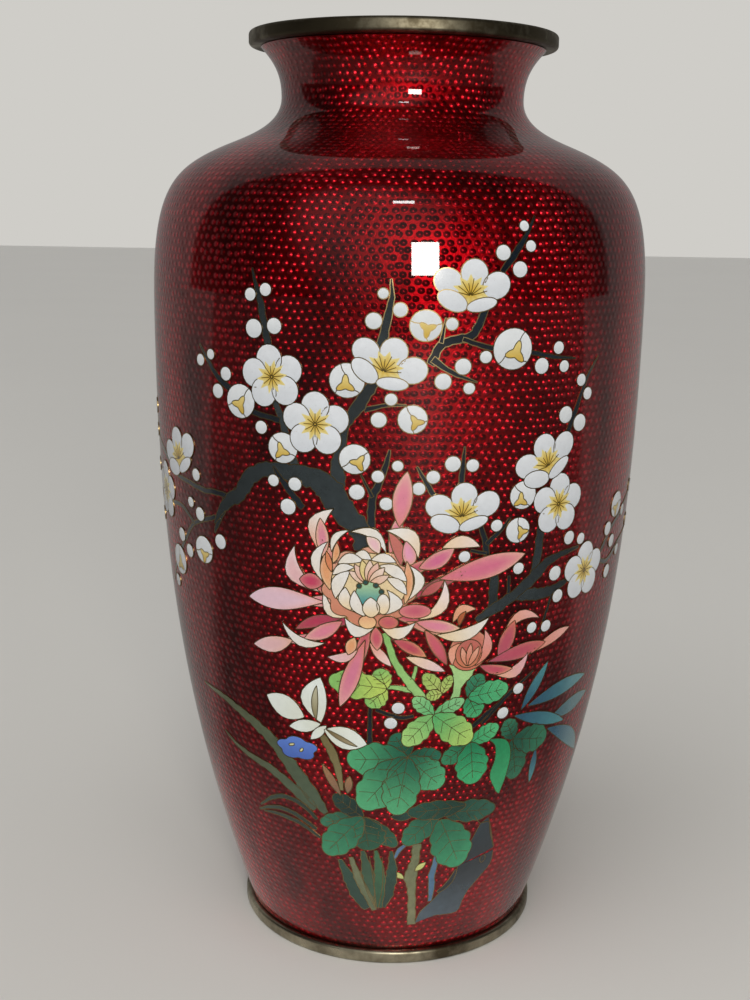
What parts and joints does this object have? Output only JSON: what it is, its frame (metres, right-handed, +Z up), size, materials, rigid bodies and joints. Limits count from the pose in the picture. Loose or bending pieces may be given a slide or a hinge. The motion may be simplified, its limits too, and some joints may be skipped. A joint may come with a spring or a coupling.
{
  "type": "cloisonne vase",
  "caption": "Shouldered cloisonne vase with a flared mouth: raised copper body, plated rings at mouth and foot, ruby enamel ground with a flush flower motif.",
  "frame": {"origin": "centre of the foot ring's resting face", "axes": "+Z up along the vase's axis; the motif faces -Y"},
  "size_m": [0.1618, 0.1618, 0.3],
  "materials": {
    "copper": "raised sheet copper, covered by enamel",
    "plated_metal": "silvery plated brass with a warm grey tarnish, satin",
    "ruby_enamel": "transparent ruby glass enamel over stippled copper, polished",
    "counter_enamel": "dark fired counter-enamel, glossy",
    "white_enamel": "opaque white enamel, polished",
    "rose_enamel": "shaded rose to cream enamel, polished",
    "leaf_enamel": "shaded green enamel, polished",
    "dark_leaf_enamel": "dark green enamel, polished",
    "branch_enamel": "slate enamel, polished",
    "stem_enamel": "olive enamel, polished",
    "bamboo_enamel": "blue-green enamel, polished"
  },
  "bodies": {
    "root": {"copper_body": "copper", "base_plate": "copper", "foot_ring": "plated_metal", "mouth_ring": "plated_metal", "ruby_ground": "ruby_enamel", "lining_enamel": "counter_enamel", "base_enamel": "counter_enamel", "chrysanthemum_front": "rose_enamel", "chrysanthemum_rear": "rose_enamel", "orchid_flower": "white_enamel", "leaf_light": "leaf_enamel", "leaf_left": "leaf_enamel", "leaf_right": "leaf_enamel", "leaf_far_right": "dark_leaf_enamel", "leaf_low_left": "dark_leaf_enamel", "leaf_low_right": "dark_leaf_enamel", "bough_left": "branch_enamel", "bough_middle": "branch_enamel", "bough_right": "branch_enamel", "trunk_foot": "branch_enamel", "chrysanthemum_stem": "leaf_enamel", "orchid_stems": "stem_enamel", "orchid_leaf": "stem_enamel", "bamboo_leaves": "bamboo_enamel", "plum_blossom_top": "white_enamel", "plum_blossom_middle": "white_enamel", "plum_blossom_upper_left": "white_enamel", "plum_blossom_lower_left": "white_enamel", "plum_blossom_centre_right": "white_enamel", "plum_blossom_upper_right": "white_enamel", "plum_blossom_lower_right": "white_enamel", "plum_blossom_right_side": "white_enamel", "plum_blossom_left_side_upper": "white_enamel", "plum_blossom_left_side_lower": "white_enamel"}
  },
  "joints": []
}
